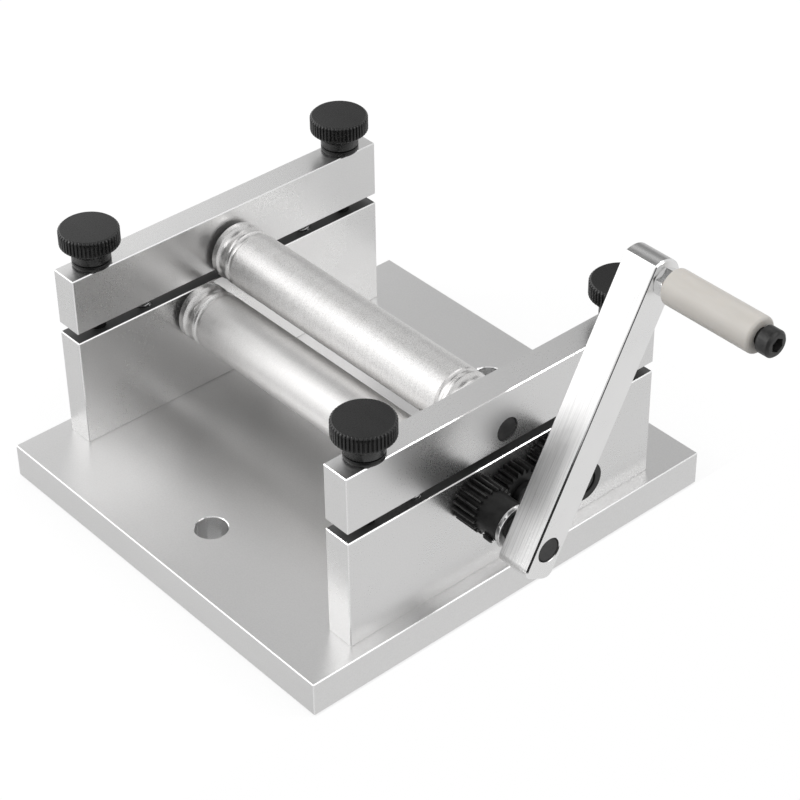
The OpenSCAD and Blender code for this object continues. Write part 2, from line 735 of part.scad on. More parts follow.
base_plate();
left_side_plate();
right_side_plate();
base_screws();
left_bar();
right_bar();
front_roller();
front_shaft();
front_thrust_washers();
rear_roller();
rear_shaft();
rear_thrust_washers();
top_roller();
top_shaft();
top_thrust_washers();
drive_gear();
drive_grub();
driven_gear();
driven_grub();
idler_gear();
idler_stud();
arm_washer();
crank_arm();
arm_grub();
handle_screw();
handle_nut();
handle_sleeve();
knob_left_front();
knob_left_back();
knob_right_front();
knob_right_back();
stud_left_front();
stud_left_back();
stud_right_front();
stud_right_back();
spring_left_front();
spring_left_back();
spring_right_front();
spring_right_back();
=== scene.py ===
import json
import math

import bmesh
import bpy
from bmesh.types import BMEdge, BMVert
from mathutils import Matrix, Vector


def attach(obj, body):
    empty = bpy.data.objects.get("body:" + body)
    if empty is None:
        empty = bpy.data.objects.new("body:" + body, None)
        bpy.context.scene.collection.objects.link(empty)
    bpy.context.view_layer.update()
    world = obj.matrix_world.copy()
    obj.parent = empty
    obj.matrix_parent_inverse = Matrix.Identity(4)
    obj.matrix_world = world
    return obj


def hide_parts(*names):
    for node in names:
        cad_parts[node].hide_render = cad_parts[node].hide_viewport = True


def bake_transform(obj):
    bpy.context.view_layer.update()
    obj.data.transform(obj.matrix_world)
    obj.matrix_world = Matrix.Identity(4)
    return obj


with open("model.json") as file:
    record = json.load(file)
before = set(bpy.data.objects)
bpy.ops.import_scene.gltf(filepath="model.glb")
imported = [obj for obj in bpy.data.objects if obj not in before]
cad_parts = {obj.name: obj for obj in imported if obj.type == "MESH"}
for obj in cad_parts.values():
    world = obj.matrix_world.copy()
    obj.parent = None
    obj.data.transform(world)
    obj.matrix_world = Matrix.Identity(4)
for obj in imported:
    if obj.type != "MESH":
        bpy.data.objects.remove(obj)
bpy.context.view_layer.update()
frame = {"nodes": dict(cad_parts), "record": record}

# Sizes in millimetres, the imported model's; the arm's width, the handle screw's head and the knobs'
# ridges stay a hair inside it. X runs along the rollers towards the crank.
MM = 0.001
FULL_TURN = 2 * math.pi
FRONT, BACK, LEFT, RIGHT = -1, 1, -1, 1
ENDS = {"front": FRONT, "back": BACK}
SIDES = {"left": LEFT, "right": RIGHT}

PLATE_MIDDLE = 65.0
PLATE_OUTSIDE = 70.0
LOW_AXIS_Y, LOW_AXIS_Z = 14.7, 43.2
TOP_AXIS_Z = 60.2341
BAR_TOP_Z = 74.4341

ROLLER_R, ROLLER_LENGTH = 9.75, 116.8
END_CHAMFER = 0.5
END_LAND, WIDE_GROOVE, GROOVE_LAND, NARROW_GROOVE = 2.6, 4.0, 1.0, 2.6
GROOVE_DEPTH = 0.7
SHAFT_R = 4.0
SHAFT_START_X = -69.7
SHAFT_END_X = {"front": 102.9, "rear": 88.0, "top": 69.7}
FIT = 0.02
THRUST_R, THRUST_T = 7.0, 1.3

GEAR_MODULE, PRESSURE_ANGLE, BACKLASH = 0.7, 20.0, 0.12
ROOT_DEPTH, FLANK_START = 1.25 * GEAR_MODULE, 0.1
GEAR_TEETH, IDLER_TEETH = 20, 23
GEAR_X, GEAR_FACE, IDLER_FACE = 70.5, 9.0, 6.4
IDLER_Z = 39.9732
DRIVE_PHASE = 92.0
HUB_ROOT, HUB_LENGTH, HUB_R = 6.7, 8.8, 6.55
HUB_END_X = GEAR_X + GEAR_FACE + HUB_LENGTH
GRUB_R, GRUB_PITCH, GRUB_PROUD = 2.0, 0.7, 1.3
DRIVE_GRUB_ANGLE, DRIVEN_GRUB_ANGLE = 215.0, 20.0

IDLER_BORE_R, IDLER_SHOULDER_R = 3.05, 3.0
IDLER_THREAD_R, IDLER_THREAD_TIP = 2.5, 0.3
IDLER_HEAD_R, IDLER_HEAD_EDGE = 4.5, 0.5
IDLER_THREAD_END, IDLER_SHOULDER_END, IDLER_HEAD_END = 8.0, 15.2, 17.6
IDLER_SOCKET, IDLER_SOCKET_DEPTH = 3.0, 1.2

CRANK_ANGLE = 61.0
ARM_X, ARM_LENGTH, ARM_WIDTH, ARM_T = 91.2, 85.0, 11.58, 12.0
ARM_TIP, ARM_BULGE, ARM_TAIL, ARM_CORNER, ARM_CHAMFER = 6.25, 3.0, 9.5, 3.0, 0.5
ARM_END_X = ARM_X + ARM_T
ARM_GRUB_RECESS = 0.6
WASHER_R, WASHER_T = 7.2, 1.6
SCREW_R, SCREW_PITCH = 2.5, 0.8
HANDLE_HEAD_R, HANDLE_HEAD, HANDLE_HEAD_EDGE = 4.15, 4.39, 0.75
BASE_HEAD_R, BASE_HEAD, BASE_HEAD_EDGE = 4.25, 5.0, 0.5
HEAD_SOCKET = 4.0
NUT_WIDTH, NUT_T = 8.0, 3.3
SLEEVE_X, SLEEVE_R, SLEEVE_LENGTH, SLEEVE_ROUND = 106.8, 5.65, 32.2, 1.0
SLEEVE_BORE = 2.55
HEAD_X, SCREW_TIP_X = 140.4, 91.7

STUD_Y, STUD_LENGTH, STUD_IN_KNOB = 50.5, 39.9, 10.2
KNOB_R, KNOB_HEIGHT, KNOB_RIM, KNOB_EDGE = 9.65, 13.2, 5.3, 0.8
KNOB_COLLAR_R, KNOB_COLLAR, KNOB_GROOVE_R = 6.25, 5.0, 5.7
KNOB_RING_LOW, KNOB_RING_HIGH, KNOB_NECK_LOW = 0.4, 1.95, 2.45
KNOB_RIDGES, RIDGE_DEPTH = 48, 0.5
# Where a ridge ends, and how wide its flank is, as shares of the distance between ridges
RIDGE_END, RIDGE_FLANK = 0.42, 0.2
SPRING_Y, SPRING_R, WIRE_R, SPRING_COILS = 33.0, 2.3, 0.4, 7
HELIX_LOW, HELIX_HIGH = 44.8341, 60.6341
STUB_BEND, STUB_LENGTH = 0.9, 0.8
BASE_SCREW_Y, BASE_SCREW_Z, BASE_SCREW_SHANK = 38.0, 0.3, 20.7

# Widths of softened edges
TURNED_EDGE, TOOTH_EDGE, SHOULDER_EDGE, HEAD_EDGE, HUB_EDGE = 0.1, 0.09, 0.12, 0.15, 0.25
THRUST_EDGE, WASHER_EDGE = 0.15, 0.25
# A thread's depth and its two flanks, as shares of its pitch
THREAD_DEPTH = 0.6
FLANK_UP, FLANK_DOWN = (0.125, 0.44), (0.56, 0.875)
# Turns of thread wound past each end and cut off, and how far the end's tip is inside the thread's foot
SPARE_TURNS, TIP_INSET = 1.5, 0.1
# How far a cutting tool or a thread runs on past its end, and how far two joined shapes overlap
PAST, OVERLAP = 1.0, 0.5
# Distances at which points are merged, and at which slivers are dissolved
WELD, COARSE_WELD, SLIVER = 1e-4, 1e-3, 1e-5
ABOUT_Z = {"cent": (0, 0, 0), "axis": (0, 0, 1)}
# Number of a piece's second finish on its faces
SECOND_FINISH = 1

BODY_OF = {n: body for body, nodes in frame["record"]["behaviour"]["bodies"].items() for n in nodes}


# Shapes, made in millimetres

def shift(x, y, z):
    """Matrix of a move."""
    return Matrix.Translation((x, y, z))


def rotation(angle, axis):
    """Matrix of a turn by an angle in degrees."""
    return Matrix.Rotation(math.radians(angle), 4, axis)


def only(kind, geom):
    """The vertices or the edges in mixed geometry."""
    return [item for item in geom if isinstance(item, kind)]


def chain(bm, points, closed=False):
    """Draws a line through points and returns its vertices and edges."""
    verts = [bm.verts.new(p) for p in points]
    pairs = list(zip(verts, verts[1:]))
    if closed:
        pairs.append((verts[-1], verts[0]))
    return verts + [bm.edges.new(pair) for pair in pairs]


def welded(bm):
    """Merges doubles and turns the faces outwards."""
    bmesh.ops.remove_doubles(bm, verts=bm.verts, dist=WELD)
    bmesh.ops.dissolve_degenerate(bm, edges=bm.edges, dist=SLIVER)
    bmesh.ops.recalc_face_normals(bm, faces=bm.faces)
    return bm


def turned(profile, steps=96, bored=False):
    """Spins a profile of (radius, height) points about Z; a bored one is closed on itself."""
    bm = bmesh.new()
    geom = chain(bm, [(r, 0, h) for r, h in profile], bored)
    bmesh.ops.spin(bm, geom=geom, **ABOUT_Z, angle=FULL_TURN, steps=steps, use_merge=True)
    return welded(bm)


def softened(bm, width, segments=2, limit=30, rubbed=None, clamp=True):
    """Rounds the outer edges sharper than a limit in degrees, and may give them a finish of their own."""
    sharp = [e for e in bm.edges if e.is_convex and e.calc_face_angle(0) > math.radians(limit)]
    made = bmesh.ops.bevel(bm, geom=sharp, offset=width, offset_type="OFFSET", affect="EDGES",
                           segments=segments, profile=0.5, material=-1, clamp_overlap=clamp)
    if rubbed is not None:
        for face in made["faces"]:
            face.material_index = rubbed
    return bm


def placed(bm, matrix):
    """Moves a shape by a matrix."""
    bmesh.ops.transform(bm, matrix=matrix, verts=bm.verts)
    return bm


def along_x(x, y, z, angle=0.0):
    """Puts a shape made along Z on a line along the machine's X, turned about it by an angle in degrees."""
    axes = Matrix(((0, 0, 1, x), (1, 0, 0, y), (0, 1, 0, z), (0, 0, 0, 1)))
    return axes @ rotation(angle, "Z")


def outward(x, y, z, angle):
    """Puts a shape made along Z at a place on a shaft, pointing away from it at an angle in degrees."""
    return shift(x, y, z) @ rotation(angle - 90, "X")


def on_crank(x):
    """Puts a shape made along Z on the crank's axis, with its own X along the arm."""
    return along_x(x, FRONT * LOW_AXIS_Y, LOW_AXIS_Z, CRANK_ANGLE)


def joined(parts):
    """Puts several shapes into one."""
    whole = bmesh.new()
    for part in parts:
        mesh = bpy.data.meshes.new("part")
        part.to_mesh(mesh)
        part.free()
        whole.from_mesh(mesh)
        bpy.data.meshes.remove(mesh)
    return whole


def carved(body, tool, operation="DIFFERENCE"):
    """Cuts a shape with another, joins them or keeps what they share."""
    blocks = []
    for bm in (body, tool):
        mesh = bpy.data.meshes.new("block")
        bm.to_mesh(mesh)
        bm.free()
        # Two empty slots let the faces keep their finish numbers through the cut
        for _ in range(2):
            mesh.materials.append(None)
        block = bpy.data.objects.new("block", mesh)
        bpy.context.scene.collection.objects.link(block)
        blocks.append(block)
    cut = blocks[0].modifiers.new("cut", "BOOLEAN")
    cut.object, cut.operation, cut.solver = blocks[1], operation, "EXACT"
    result = bmesh.new()
    result.from_object(blocks[0], bpy.context.evaluated_depsgraph_get())
    for block in blocks:
        mesh = block.data
        bpy.data.objects.remove(block)
        bpy.data.meshes.remove(mesh)
    return welded(result)


def round_bar(r, height, z=0.0, steps=48):
    """Plain bar that starts at a height z."""
    bm = bmesh.new()
    bmesh.ops.create_cone(bm, cap_ends=True, segments=steps, radius1=r, radius2=r, depth=height,
                          matrix=shift(0, 0, z + height / 2))
    return bm


def corner_radius(width):
    """Radius to the corners of a hexagon with a width across its flats."""
    return width / 2 / math.cos(math.radians(30))


def hexagon(width, height, z=0.0):
    """Hexagonal bar with a width across its flats, that starts at a height z."""
    return round_bar(corner_radius(width), height, z, steps=6)


def rod(r, length, chamfer):
    """Profile of a round rod with chamfered ends."""
    near = [(0, 0), (r - chamfer, 0), (r, chamfer)]
    return near + [(x, length - h) for x, h in reversed(near)]


def slab(bm, thickness, holes):
    """Fills a flat outline round its holes (x, y, radius) and raises it."""
    for x, y, r in holes:
        bmesh.ops.create_circle(bm, segments=64, radius=r, matrix=shift(x, y, 0))
    bmesh.ops.triangle_fill(bm, edges=bm.edges[:], use_beauty=True, use_dissolve=False, normal=(0, 0, 1))
    bmesh.ops.dissolve_limit(bm, angle_limit=0.01, use_dissolve_boundaries=False, verts=bm.verts[:],
                             edges=[e for e in bm.edges if not e.is_boundary], delimit=set())
    raised = bmesh.ops.extrude_face_region(bm, geom=bm.faces[:], use_keep_orig=True)["geom"]
    bmesh.ops.translate(bm, vec=(0, 0, thickness), verts=only(BMVert, raised))
    return welded(bm)


def bore(r, thickness, rim=0.2):
    """Hole through a thickness, with chamfered rims, to be cut away."""
    mouth = r + rim + PAST
    return turned([(0, -PAST), (mouth, -PAST), (r, rim), (r, thickness - rim),
                   (mouth, thickness + PAST), (0, thickness + PAST)], 64)


def threaded(r, pitch, length, steps=28):
    """Rod with a right-hand thread and chamfered ends, from z = 0."""
    depth = THREAD_DEPTH * pitch
    crest, foot = r, r - depth
    bm = bmesh.new()
    profile = [(foot, 0), (foot, FLANK_UP[0]), (crest, FLANK_UP[1]),
               (crest, FLANK_DOWN[0]), (foot, FLANK_DOWN[1]), (foot, 1)]
    turns = math.ceil(length / pitch) + int(2 * SPARE_TURNS)
    geom = chain(bm, [(x, 0, pitch * share - SPARE_TURNS * pitch) for x, share in profile])
    bmesh.ops.spin(bm, geom=geom, **ABOUT_Z, dvec=(0, 0, pitch / steps),
                   angle=turns * FULL_TURN, steps=turns * steps)
    bmesh.ops.remove_doubles(bm, verts=bm.verts, dist=WELD)
    for height, way in ((depth, -1), (length - depth, 1)):
        cut = bmesh.ops.bisect_plane(bm, geom=bm.verts[:] + bm.edges[:] + bm.faces[:], dist=1e-6,
                                     plane_co=(0, 0, height), plane_no=(0, 0, way), clear_outer=True)
        cap = bmesh.ops.contextual_create(bm, geom=only(BMEdge, cut["geom_cut"]))["faces"]
        raised = bmesh.ops.extrude_face_region(bm, geom=cap)["geom"]
        bmesh.ops.delete(bm, geom=cap, context="FACES_ONLY")
        tips = only(BMVert, raised)
        bmesh.ops.translate(bm, vec=(0, 0, way * depth), verts=tips)
        share = (foot - TIP_INSET) / crest
        bmesh.ops.scale(bm, vec=(share, share, 1), verts=tips)
    return welded(bm)


# Pieces

def show(node, bm, *finishes, sharp=40):
    """Makes a shape, with its finishes, the piece that stands for a CAD node."""
    placed(bm, Matrix.Scale(MM, 4))
    mesh = bpy.data.meshes.new("shown_" + node)
    bm.to_mesh(mesh)
    bm.free()
    for skin in finishes:
        mesh.materials.append(skin)
    mesh.shade_smooth()
    mesh.set_sharp_from_angle(angle=math.radians(sharp))
    piece = bpy.data.objects.new("shown_" + node, mesh)
    bpy.context.scene.collection.objects.link(piece)
    even = piece.modifiers.new("even_shading", "WEIGHTED_NORMAL")
    even.keep_sharp = True
    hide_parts(node)
    return piece


def ridden(node, bm, *finishes, sharp=40):
    """Shows a piece that rides on its node's body."""
    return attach(show(node, bm, *finishes, sharp=sharp), BODY_OF[node])


def roller():
    """Roller with a wide and a narrow wire groove at each end; its end bands have a second finish."""
    def groove(middle, width):
        bend = ((width / 2) ** 2 + GROOVE_DEPTH ** 2) / (2 * GROOVE_DEPTH)
        centre_r = ROLLER_R + bend - GROOVE_DEPTH
        steps = 10
        across = [width * (i / steps - 0.5) for i in range(steps + 1)]
        return [(centre_r - math.sqrt(bend ** 2 - a ** 2), middle + a) for a in across]

    wide = END_LAND + WIDE_GROOVE / 2
    narrow = END_LAND + WIDE_GROOVE + GROOVE_LAND + NARROW_GROOVE / 2
    near = [(SHAFT_R + FIT, 0), (ROLLER_R - END_CHAMFER, 0), (ROLLER_R, END_CHAMFER)]
    near += groove(wide, WIDE_GROOVE) + groove(narrow, NARROW_GROOVE)
    far = [(r, ROLLER_LENGTH - h) for r, h in reversed(near)]
    bm = softened(turned(near + far, 128, bored=True), TURNED_EDGE, limit=28)
    band = END_LAND + WIDE_GROOVE + GROOVE_LAND + NARROW_GROOVE
    for face in bm.faces:
        if abs(face.calc_center_median().z - ROLLER_LENGTH / 2) > ROLLER_LENGTH / 2 - band:
            face.material_index = SECOND_FINISH
    return bm


def washer(r, bore_r, thickness, edge):
    """Flat ring with softened edges."""
    ring = [(bore_r, 0), (r, 0), (r, thickness), (bore_r, thickness)]
    return softened(turned(ring, 72, bored=True), edge)


def half_tooth(teeth, r):
    """Half the angle that a tooth covers at a radius, in radians."""
    pitch_r = GEAR_MODULE * teeth / 2
    base_r = pitch_r * math.cos(math.radians(PRESSURE_ANGLE))

    def involute(a):
        return math.tan(a) - a

    at_pitch = math.pi / (2 * teeth) - BACKLASH / (2 * pitch_r)
    angle_here = math.acos(min(1, base_r / max(r, base_r)))
    return at_pitch + involute(math.radians(PRESSURE_ANGLE)) - involute(angle_here)


def gear(teeth, face, bore_r, phase):
    """Spur gear from one tooth, copied round, filled, raised and rubbed bright along its tooth edges."""
    pitch_r = GEAR_MODULE * teeth / 2
    root_r, tip_r = pitch_r - ROOT_DEPTH, pitch_r + GEAR_MODULE
    flank_r = max(root_r + FLANK_START, pitch_r * math.cos(math.radians(PRESSURE_ANGLE)))
    steps = 5
    flank = [flank_r + (tip_r - flank_r) * i / steps for i in range(steps + 1)]
    foot = half_tooth(teeth, flank_r)
    rise = [(root_r, -foot)] + [(r, -half_tooth(teeth, r)) for r in flank]
    tooth = rise + [(r, -a) for r, a in reversed(rise)]
    gap = FULL_TURN / teeth - 2 * foot
    tooth += [(root_r, foot + gap / 2), (root_r, foot + gap)]
    bm = bmesh.new()
    geom = chain(bm, [(r * math.cos(a), r * math.sin(a), 0) for r, a in tooth])
    bmesh.ops.spin(bm, geom=geom, **ABOUT_Z, angle=FULL_TURN, steps=teeth, use_duplicate=True)
    bmesh.ops.remove_doubles(bm, verts=bm.verts, dist=COARSE_WELD)
    slab(bm, face, [(0, 0, bore_r)])
    softened(bm, TOOTH_EDGE, limit=45, rubbed=SECOND_FINISH)
    return placed(bm, rotation(phase, "Z"))


def hub_gear(phase, grub_angle):
    """Roller gear with its hub and the hole of its grub screw."""
    hub = [(SHAFT_R + FIT, HUB_ROOT), (HUB_R, HUB_ROOT),
           (HUB_R, GEAR_FACE + HUB_LENGTH), (SHAFT_R + FIT, GEAR_FACE + HUB_LENGTH)]
    whole = carved(gear(GEAR_TEETH, GEAR_FACE, SHAFT_R + FIT, phase),
                   softened(turned(hub, bored=True), HUB_EDGE), "UNION")
    hole = placed(round_bar(GRUB_R + FIT, HUB_R), rotation(grub_angle, "Z") @ rotation(90, "Y"))
    return carved(whole, placed(hole, shift(0, 0, GEAR_FACE + HUB_LENGTH / 2)))


def grub(length):
    """Headless screw with a hexagonal socket in its outer half."""
    return carved(threaded(GRUB_R, GRUB_PITCH, length), hexagon(GRUB_R, length, length / 2))


def meshed(phase, teeth, next_teeth, to_next):
    """Phase of a gear that meshes with another in a direction, in degrees."""
    return to_next + 180 - teeth / next_teeth * (phase - to_next) - 180 / next_teeth


def arm():
    """Crank arm: straight sides, a bulging end at the handle and rounded corners at the tail."""
    half, r = ARM_WIDTH / 2, ARM_CORNER
    end_r = (half ** 2 + ARM_BULGE ** 2) / (2 * ARM_BULGE)
    middle = ARM_LENGTH + ARM_TIP - end_r
    swing = math.asin(half / end_r)
    bm = bmesh.new()
    pen = bm.verts.new((r - ARM_TAIL, -half, 0))
    # Each move is a straight line to a point, then a bend: its centre, its angle and its steps
    moves = [((middle + end_r * math.cos(swing), -half), (middle, 0), math.degrees(2 * swing), 32),
             ((r - ARM_TAIL, half), (r - ARM_TAIL, half - r), 90, 10),
             ((-ARM_TAIL, r - half), (r - ARM_TAIL, r - half), 90, 10)]
    for corner, centre, angle, steps in moves:
        there = bm.verts.new((*corner, 0))
        bm.edges.new((pen, there))
        made = bmesh.ops.spin(bm, geom=[there], cent=(*centre, 0), axis=(0, 0, 1),
                              angle=math.radians(angle), steps=steps)
        pen = only(BMVert, made["geom_last"])[0]
    bmesh.ops.remove_doubles(bm, verts=bm.verts, dist=COARSE_WELD)
    bm = softened(slab(bm, ARM_T, []), ARM_CHAMFER, segments=1, clamp=False)
    for x, hole_r in ((0, SHAFT_R + FIT), (ARM_LENGTH, SCREW_R + FIT)):
        bm = carved(bm, placed(bore(hole_r, ARM_T), shift(x, 0, 0)))
    hole = placed(round_bar(GRUB_R + FIT, ARM_TAIL + PAST, -ARM_TAIL - PAST),
                  shift(0, 0, ARM_T / 2) @ rotation(90, "Y"))
    return carved(bm, hole)


def cap_head(r, height, edge):
    """Round head with a chamfered rim and a hexagonal socket in its top."""
    profile = [(0, 0), (r, 0), (r, height - edge), (r - edge, height), (0, height)]
    return carved(softened(turned(profile, 72), HEAD_EDGE), hexagon(HEAD_SOCKET, height, height / 2))


def handle_screw():
    """Socket-head screw: thread in the arm and nut, plain shank in the sleeve."""
    thread = ARM_END_X + NUT_T - SCREW_TIP_X
    shank = HEAD_X - SCREW_TIP_X
    bolt = carved(threaded(SCREW_R, SCREW_PITCH, thread + PAST),
                  round_bar(SCREW_R, shank - thread + OVERLAP, thread), "UNION")
    head = placed(cap_head(HANDLE_HEAD_R, HANDLE_HEAD, HANDLE_HEAD_EDGE), shift(0, 0, shank))
    return carved(bolt, head, "UNION")


def base_screw():
    """Socket-head screw with its head down."""
    head = placed(cap_head(BASE_HEAD_R, BASE_HEAD, BASE_HEAD_EDGE), rotation(180, "X"))
    placed(head, shift(0, 0, BASE_HEAD))
    shank = threaded(SCREW_R, SCREW_PITCH, BASE_SCREW_SHANK + OVERLAP)
    return carved(head, placed(shank, shift(0, 0, BASE_HEAD - OVERLAP)), "UNION")


def idler_stud():
    """Shoulder screw that carries the idler gear, from the end of its thread."""
    thread, shoulder, head = IDLER_THREAD_END, IDLER_SHOULDER_END, IDLER_HEAD_END
    profile = [(0, 0), (IDLER_THREAD_R - IDLER_THREAD_TIP, 0), (IDLER_THREAD_R, IDLER_THREAD_TIP),
               (IDLER_THREAD_R, thread), (IDLER_SHOULDER_R, thread),
               (IDLER_SHOULDER_R, shoulder), (IDLER_HEAD_R, shoulder),
               (IDLER_HEAD_R, head - IDLER_HEAD_EDGE), (IDLER_HEAD_R - IDLER_HEAD_EDGE, head), (0, head)]
    socket = hexagon(IDLER_SOCKET, 2 * IDLER_SOCKET_DEPTH, head - IDLER_SOCKET_DEPTH)
    return carved(softened(turned(profile, 72), SHOULDER_EDGE), socket)


def nut():
    """Hexagonal nut whose corners are turned off at both faces."""
    corner, flat = corner_radius(NUT_WIDTH), NUT_WIDTH / 2
    drop = (corner - flat) * math.tan(math.radians(30))
    bore_r = SCREW_R + FIT
    lip, spare, ease = 0.3, 0.1, 0.12
    near = [(bore_r, lip), (bore_r + lip, 0), (flat - spare, 0), (corner + spare, drop + ease)]
    far = [(r, NUT_T - h) for r, h in reversed(near)]
    return carved(hexagon(NUT_WIDTH, NUT_T), turned(near + far, bored=True), "INTERSECT")


def sleeve():
    """Moulded tube with rounded ends."""
    r = SLEEVE_ROUND
    steps = 6
    bend = [math.radians(90 * i / steps) for i in range(steps + 1)]
    low = [(SLEEVE_R - r + r * math.sin(a), r - r * math.cos(a)) for a in bend]
    high = [(x, SLEEVE_LENGTH - h) for x, h in reversed(low)]
    lip = 0.3
    inside = [(SLEEVE_BORE + lip, SLEEVE_LENGTH), (SLEEVE_BORE, SLEEVE_LENGTH - lip),
              (SLEEVE_BORE, lip), (SLEEVE_BORE + lip, 0)]
    return turned(low + high + inside, bored=True)


def knob():
    """Knob with a grooved collar, a tapered underside and a ridged rim, from z = 0 on top of the bar."""
    rim_low, rim_high = KNOB_HEIGHT - KNOB_RIM, KNOB_HEIGHT - KNOB_EDGE
    below_top = KNOB_HEIGHT - 0.01
    per_ridge, rim_steps = 8, 4
    soft = 0.12

    def under(r):
        return r, KNOB_COLLAR + (r - KNOB_COLLAR_R) / (KNOB_R - KNOB_COLLAR_R) * (rim_low - KNOB_COLLAR)

    def ring(low, high):
        return [(KNOB_GROOVE_R, low - soft / 2), (KNOB_COLLAR_R - soft, low),
                (KNOB_COLLAR_R, low + soft), (KNOB_COLLAR_R, high - soft),
                (KNOB_COLLAR_R - soft, high), (KNOB_GROOVE_R, high + soft / 2)]

    profile = [(0, 0), (KNOB_GROOVE_R, 0)] + ring(KNOB_RING_LOW, KNOB_RING_HIGH)
    profile += ring(KNOB_NECK_LOW, KNOB_COLLAR)[:4]
    profile += [under(KNOB_COLLAR_R + soft), under(KNOB_R - RIDGE_DEPTH), under(KNOB_R - soft)]
    rim_height = rim_high - rim_low - soft
    profile += [(KNOB_R, rim_low + soft + rim_height * i / rim_steps) for i in range(rim_steps + 1)]
    profile += [(KNOB_R - soft, rim_high + 2 * soft), (KNOB_R - KNOB_EDGE + soft, KNOB_HEIGHT - soft / 2),
                (KNOB_R - KNOB_EDGE, KNOB_HEIGHT), (0, KNOB_HEIGHT)]
    bm = turned(profile, KNOB_RIDGES * per_ridge)
    for vert in bm.verts:
        r = vert.co.xy.length
        if r > KNOB_R - RIDGE_DEPTH:
            phase = math.atan2(vert.co.y, vert.co.x) / FULL_TURN * KNOB_RIDGES
            from_middle = abs(phase - round(phase))
            rise = min(1, max(0, (RIDGE_END - from_middle) / RIDGE_FLANK))
            limit = KNOB_R - RIDGE_DEPTH * (1 - rise * rise * (3 - 2 * rise))
            if r > limit:
                vert.co.xy *= limit / r
    for face in bm.faces:
        if rim_high < face.calc_center_median().z < below_top:
            face.material_index = SECOND_FINISH
    return bm


def lift_spring():
    """Coil spring with a bent stub at each end, one unbroken wire."""
    bm = bmesh.new()
    coil_steps, bend_steps = 36, 8
    upright = shift(SPRING_R, 0, HELIX_LOW) @ rotation(90, "X")
    verts = bmesh.ops.create_circle(bm, segments=12, radius=WIRE_R, matrix=upright)["verts"]
    ring = verts + bm.edges[:]
    steps = SPRING_COILS * coil_steps
    rise = (HELIX_HIGH - HELIX_LOW) / steps
    wound = bmesh.ops.spin(bm, geom=ring, **ABOUT_Z, dvec=(0, 0, rise),
                           angle=SPRING_COILS * FULL_TURN, steps=steps)
    for start, z, way in ((ring, HELIX_LOW, -1), (wound["geom_last"], HELIX_HIGH, 1)):
        bent = bmesh.ops.spin(bm, geom=start, cent=(SPRING_R, 0, z + way * STUB_BEND), axis=(1, 0, 0),
                              angle=math.radians(90), steps=bend_steps)["geom_last"]
        drawn = bmesh.ops.extrude_edge_only(bm, edges=only(BMEdge, bent))["geom"]
        bmesh.ops.translate(bm, vec=(0, 0, way * STUB_LENGTH), verts=only(BMVert, drawn))
        bmesh.ops.contextual_create(bm, geom=only(BMEdge, drawn))
    return welded(bm)


# Finishes

class Value:
    """One socket of a shading, with arithmetic that adds Math nodes."""

    def __init__(self, shading, socket):
        self.shading, self.socket = shading, socket

    def math(self, operation, first, second):
        return self.shading.add("Math", {"operation": operation}, {0: first, 1: second})

    def __add__(self, other):
        return self.math("ADD", self, other)

    def __sub__(self, other):
        return self.math("SUBTRACT", self, other)

    def __rsub__(self, other):
        return self.math("SUBTRACT", other, self)

    def __mul__(self, other):
        return self.math("MULTIPLY", self, other)

    def __or__(self, other):
        return self.math("MAXIMUM", self, other)

    __radd__, __rmul__ = __add__, __mul__


class Shading:
    """Node tree of a finish or of the studio."""

    def __init__(self, owner):
        owner.use_nodes = True
        self.tree = owner.node_tree
        self.tree.nodes.clear()

    def add(self, kind, settings=(), sockets=(), out=0):
        """Adds a node and returns one of its outputs, or an end node itself."""
        made = self.tree.nodes.new("ShaderNode" + kind)
        for name, value in dict(settings).items():
            setattr(made, name, value)
        for key, value in dict(sockets).items():
            if isinstance(value, Value):
                self.tree.links.new(value.socket, made.inputs[key])
            else:
                made.inputs[key].default_value = value
        return Value(self, made.outputs[out]) if made.outputs else made

    def split(self, vector):
        """The three parts of a vector."""
        return [self.add("SeparateXYZ", (), {0: vector}, out) for out in range(3)]

    def place(self, scale, turn=(0, 0, 0)):
        """Object coordinates, turned and stretched; a scale is in repeats per metre."""
        spot = self.add("TexCoord", out="Object")
        turned_spot = self.add("Mapping", (), {"Vector": spot, "Rotation": turn})
        return self.add("Mapping", {"vector_type": "POINT"}, {"Vector": turned_spot, "Scale": scale})

    def noise(self, scale, turn=(0, 0, 0), detail=3.0, rough=0.55):
        """Noise spread over the whole range from 0 to 1; a scale is one number or one for each axis."""
        scales = scale if isinstance(scale, tuple) else (scale,) * 3
        raw = self.add("TexNoise", (), {"Vector": self.place(scales, turn), "Scale": 1.0,
                                        "Detail": detail, "Roughness": rough})
        return self.add("MapRange", (), {0: raw, 1: 0.3, 2: 0.7, 3: 0.0, 4: 1.0})

    def ramp(self, value, start, end):
        """0 up to a start, 1 from an end."""
        return self.add("MapRange", {"interpolation_type": "SMOOTHSTEP"},
                        {0: value, 1: start, 2: end, 3: 0.0, 4: 1.0})

    def mix(self, low, high, share):
        """Goes from one colour to another; each is three numbers or a value."""
        # Inputs 6 and 7 and output 2 are the node's sockets for colours
        low, high = [c if isinstance(c, Value) else (*c, 1) for c in (low, high)]
        return self.add("Mix", {"data_type": "RGBA"}, {0: share, 6: low, 7: high}, out=2)

    def surface(self, sockets, bump=None, height=0.0):
        """Ends a finish in one shader; bump is a value whose relief has a height in metres."""
        values = dict(sockets)
        if bump is not None:
            values["Normal"] = self.add("Bump", (), {"Height": bump, "Distance": height, "Strength": 1.0})
        shader = self.add("BsdfPrincipled", (), values)
        self.add("OutputMaterial", (), {"Surface": shader})


def finish(name):
    """A new material and its empty shading."""
    material = bpy.data.materials.new(name)
    return material, Shading(material)


def grey(level, warmth=0.0):
    """A grey, with a little more red and less blue if it is warm."""
    return (level * (1 + warmth), level, level * (1 - warmth))


